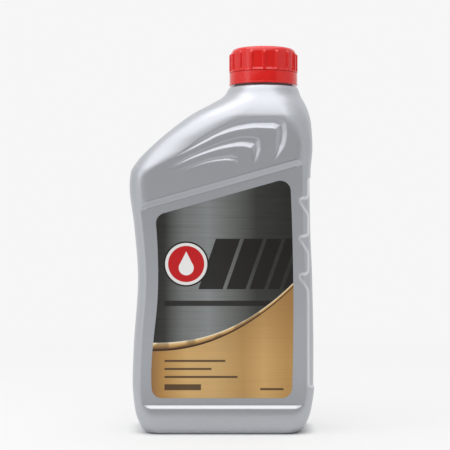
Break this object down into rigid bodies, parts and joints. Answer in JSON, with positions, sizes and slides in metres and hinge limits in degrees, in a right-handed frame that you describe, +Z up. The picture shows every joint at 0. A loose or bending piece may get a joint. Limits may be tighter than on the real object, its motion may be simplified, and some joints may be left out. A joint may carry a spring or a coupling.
{
  "type": "motor oil bottle",
  "caption": "Blow-moulded oil bottle with an offset neck, slanted shoulder, recessed label face and finger notches, closed by a ribbed screw cap above a tamper ring.",
  "frame": {"origin": "middle of the body's outline on the plane that the base stands on", "axes": "+Z up through the bottle, +X towards the side that carries the neck, -Y out of the face with the label"},
  "size_m": [0.1074, 0.0574, 0.2254],
  "materials": {
    "body_plastic": "satin silver-grey polyethylene with fine metallic pigment",
    "closure_plastic": "glossy red polypropylene",
    "label_film": "printed film, dark brushed field above a gold one, satin",
    "liner_foam": "white foamed sealing disc"
  },
  "bodies": {
    "bottle": {"bottle": "body_plastic", "front_label": "label_film", "tamper_ring": "closure_plastic"},
    "liner": {"cap_liner": "liner_foam"},
    "cap": {"cap": "closure_plastic"}
  },
  "joints": [
    {"name": "cap_lift", "type": "slide", "parent": "bottle", "child": "liner", "axis": [0, 0, 1], "range_m": [0, 0.01279]},
    {"name": "cap_turn", "type": "hinge", "parent": "liner", "child": "cap", "pos_m": [0.02464, 0, 0.2182], "axis": [0, 0, 1], "range_deg": [0, 1080]}
  ],
  "couplings": [
    {"joint": "cap_lift", "follows": "cap_turn", "m_per_rad": 0.00067322}
  ]
}
